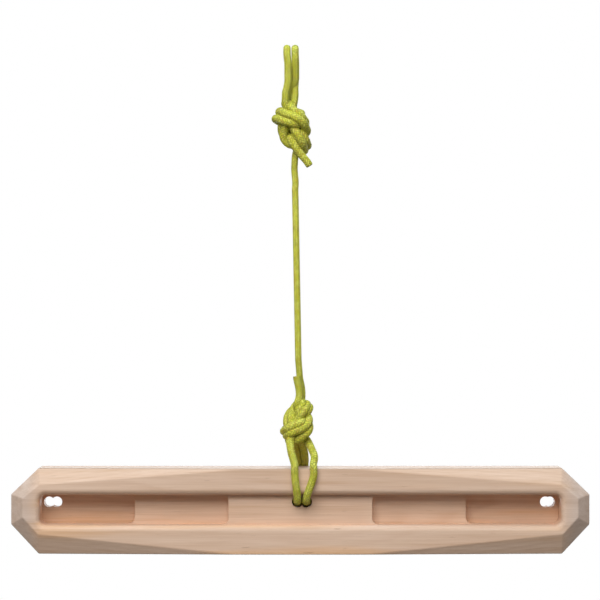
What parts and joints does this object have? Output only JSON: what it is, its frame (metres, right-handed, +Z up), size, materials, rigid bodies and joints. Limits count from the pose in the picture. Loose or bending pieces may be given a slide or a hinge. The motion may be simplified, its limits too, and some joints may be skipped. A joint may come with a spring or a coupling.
{
  "type": "travel hangboard",
  "caption": "Portable climbing hangboard: a faceted hardwood board with a stepped grip slot and cord holes, hung from a bar by an accessory cord with a double-loop knot at each end.",
  "frame": {"origin": "top of the inside of the two hanging loops, where they rest on the bar that holds the object up", "axes": "+X along the board to the right as seen from the front, +Y from the gripping face to the back, +Z up"},
  "size_m": [0.54, 0.0594, 0.4761],
  "materials": {
    "hardwood": "sanded bare pale hardwood, fine straight grain along the board",
    "cord_sheath": "woven lime green sheath with small darker and orange flecks"
  },
  "bodies": {
    "upper_rig": {"hanging_loop_left": "cord_sheath", "hanging_loop_right": "cord_sheath", "upper_knot_line_strand": "cord_sheath", "upper_knot_collar_strand": "cord_sheath", "upper_knot_tail_strand": "cord_sheath"},
    "upper_line": {"line_top": "cord_sheath"},
    "middle_line": {"line_middle": "cord_sheath"},
    "lower_line": {"line_bottom": "cord_sheath"},
    "lower_rig": {"lower_knot_line_strand": "cord_sheath", "lower_knot_collar_strand": "cord_sheath", "lower_knot_tail_strand": "cord_sheath", "board_loop_left": "cord_sheath", "board_loop_right": "cord_sheath"},
    "board": {"board": "hardwood"}
  },
  "joints": [
    {"name": "line_swing", "type": "hinge", "parent": "upper_rig", "child": "upper_line", "pos_m": [0.0031, 0, -0.1], "axis": [1, 0, 0], "range_deg": [-35, 35], "deforming": ["line_top"]},
    {"name": "line_sway", "type": "hinge", "parent": "upper_line", "child": "middle_line", "pos_m": [0.00404, 0, -0.15], "axis": [0, 1, 0], "range_deg": [-35, 35], "deforming": ["line_top", "line_middle"]},
    {"name": "line_twist", "type": "hinge", "parent": "middle_line", "child": "lower_line", "pos_m": [0.00517, 0, -0.21], "axis": [-0.0188, 0, 0.9998], "range_deg": [-180, 180], "deforming": ["line_middle", "line_bottom"]},
    {"name": "board_swing", "type": "hinge", "parent": "lower_line", "child": "lower_rig", "pos_m": [0.0072, 0, -0.318], "axis": [1, 0, 0], "range_deg": [-35, 35], "deforming": ["line_bottom", "lower_knot_line_strand", "lower_knot_tail_strand"]},
    {"name": "board_tip", "type": "hinge", "parent": "lower_rig", "child": "board", "pos_m": [0.0085, 0, -0.423], "axis": [0, 1, 0], "range_deg": [-25, 25], "deforming": ["board_loop_left", "board_loop_right"]}
  ]
}
